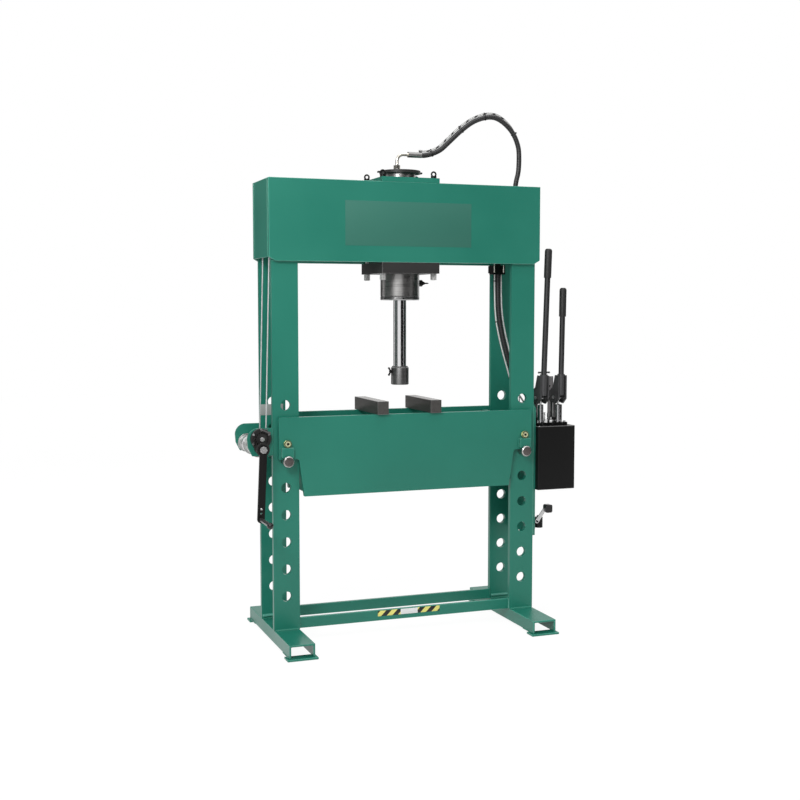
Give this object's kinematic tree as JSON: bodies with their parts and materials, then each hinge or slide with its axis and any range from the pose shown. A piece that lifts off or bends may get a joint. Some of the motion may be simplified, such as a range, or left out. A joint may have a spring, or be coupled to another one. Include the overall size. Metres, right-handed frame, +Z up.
{
  "type": "shop press",
  "caption": "Floor-standing hydraulic shop press with a welded frame, a pinned bed raised by a hand winch, a clamped cylinder and a hand lever pump with tank.",
  "frame": {"origin": "on the floor, midway between the two feet and midway between the front and rear uprights", "axes": "+X to the pump's side, +Y to the rear, +Z up; the work is loaded from -Y"},
  "size_m": [1.4696, 0.696, 2.225],
  "materials": {
    "green_paint": "gloss",
    "black_paint": "satin",
    "dark_steel": "satin",
    "bright_steel": "satin",
    "chrome": "polished",
    "wire_rope": "rough",
    "yellow_zinc": "satin",
    "hose_rubber": "matte",
    "pale_tube": "satin",
    "black_grip": "matte"
  },
  "bodies": {
    "frame": {"header_front": "green_paint", "header_rear": "green_paint", "header_ends": "green_paint", "upright_front_left": "green_paint", "upright_front_right": "green_paint", "upright_rear_left": "green_paint", "upright_rear_right": "green_paint", "foot_left": "green_paint", "foot_right": "green_paint", "foot_pads": "green_paint", "crossbar_front": "green_paint", "crossbar_rear": "green_paint", "cylinder_flange": "black_paint", "cylinder_barrel": "dark_steel", "gland_ring": "dark_steel", "top_plate": "green_paint", "head_cap": "black_paint", "clamp_studs": "bright_steel", "eye_nuts": "black_paint", "hose_elbow": "yellow_zinc", "bleed_fitting": "black_paint", "hose_clamp": "black_paint", "hose_main": "hose_rubber", "hose_tube": "pale_tube", "sheave_shafts": "dark_steel", "lift_ropes": "wire_rope", "rope_drops": "wire_rope", "winch_front_plate": "green_paint", "winch_rear_plate": "green_paint", "brake_housing": "black_paint", "pump_plate": "green_paint", "tank": "black_paint", "pump_base": "black_paint", "tank_breather": "bright_steel", "label_plate": "bright_steel", "valve_body": "black_paint"},
    "ram": {"ram_rod": "chrome", "nose": "dark_steel"},
    "thumb_screw": {"nose_screw": "black_paint"},
    "bed": {"bed_front": "green_paint", "bed_rear": "green_paint", "bed_spacers": "green_paint", "pin_saddles": "green_paint", "ear_bolts": "yellow_zinc", "rope_ends": "bright_steel", "arbor_bars": "dark_steel"},
    "pin_left": {"pin_left": "bright_steel"},
    "pin_right": {"pin_right": "bright_steel"},
    "winch": {"winch_drum": "bright_steel", "crank": "black_paint"},
    "crank_grip": {"crank_grip": "black_grip"},
    "sheaves_left": {"sheaves_left": "bright_steel"},
    "sheave_right": {"sheave_right": "bright_steel"},
    "lever_left": {"lever_left": "black_paint", "lever_left_grip": "black_grip"},
    "lever_right": {"lever_right": "black_paint", "lever_right_grip": "black_grip"},
    "plunger_left": {"plunger_left": "bright_steel"},
    "plunger_right": {"plunger_right": "bright_steel"},
    "release_lever": {"release_lever": "bright_steel"}
  },
  "joints": [
    {"name": "ram_slide", "type": "slide", "parent": "frame", "child": "ram", "axis": [0, 0, -1], "range_m": [-0.275, 0.005]},
    {"name": "thumb_screw_turn", "type": "hinge", "parent": "ram", "child": "thumb_screw", "pos_m": [-0.031, 0, 1.111], "axis": [1, 0, 0], "continuous": true},
    {"name": "bed_lift", "type": "slide", "parent": "frame", "child": "bed", "axis": [0, 0, 1], "range_m": [0, 0.235], "deforming": ["rope_drops"]},
    {"name": "pin_left_slide", "type": "slide", "parent": "frame", "child": "pin_left", "axis": [0, -1, 0], "range_m": [0, 0.33]},
    {"name": "pin_right_slide", "type": "slide", "parent": "frame", "child": "pin_right", "axis": [0, -1, 0], "range_m": [0, 0.33]},
    {"name": "drum_spin", "type": "hinge", "parent": "frame", "child": "winch", "pos_m": [-0.642, 0, 0.819], "axis": [0, 1, 0], "range_deg": [0, 400]},
    {"name": "grip_spin", "type": "hinge", "parent": "winch", "child": "crank_grip", "pos_m": [-0.65417, -0.258, 0.54027], "axis": [0, 1, 0], "continuous": true},
    {"name": "sheaves_left_spin", "type": "hinge", "parent": "frame", "child": "sheaves_left", "pos_m": [-0.557, 0, 1.74], "axis": [0, 1, 0], "range_deg": [-530, 0]},
    {"name": "sheave_right_spin", "type": "hinge", "parent": "frame", "child": "sheave_right", "pos_m": [0.505, 0, 1.74], "axis": [0, 1, 0], "range_deg": [-530, 0]},
    {"name": "lever_left_swing", "type": "hinge", "parent": "frame", "child": "lever_left", "pos_m": [0.644, -0.067, 0.985], "axis": [1, 0, 0], "range_deg": [-12, 28]},
    {"name": "lever_right_swing", "type": "hinge", "parent": "frame", "child": "lever_right", "pos_m": [0.731, -0.067, 0.985], "axis": [1, 0, 0], "range_deg": [-12, 28]},
    {"name": "plunger_left_slide", "type": "slide", "parent": "frame", "child": "plunger_left", "axis": [0, 0, 1], "range_m": [-0.012, 0.027]},
    {"name": "plunger_right_slide", "type": "slide", "parent": "frame", "child": "plunger_right", "axis": [0, 0, 1], "range_m": [-0.012, 0.027]},
    {"name": "release_swing", "type": "hinge", "parent": "frame", "child": "release_lever", "pos_m": [0.605, -0.118, 0.444], "axis": [0, 1, 0], "range_deg": [-12, 12]}
  ],
  "couplings": [
    {"joint": "drum_spin", "follows": "bed_lift", "rad_per_m": 29.154},
    {"joint": "sheaves_left_spin", "follows": "bed_lift", "rad_per_m": -38.462},
    {"joint": "sheave_right_spin", "follows": "bed_lift", "rad_per_m": -38.462},
    {"joint": "plunger_left_slide", "follows": "lever_left_swing", "m_per_rad": 0.0515},
    {"joint": "plunger_right_slide", "follows": "lever_right_swing", "m_per_rad": 0.0515}
  ]
}
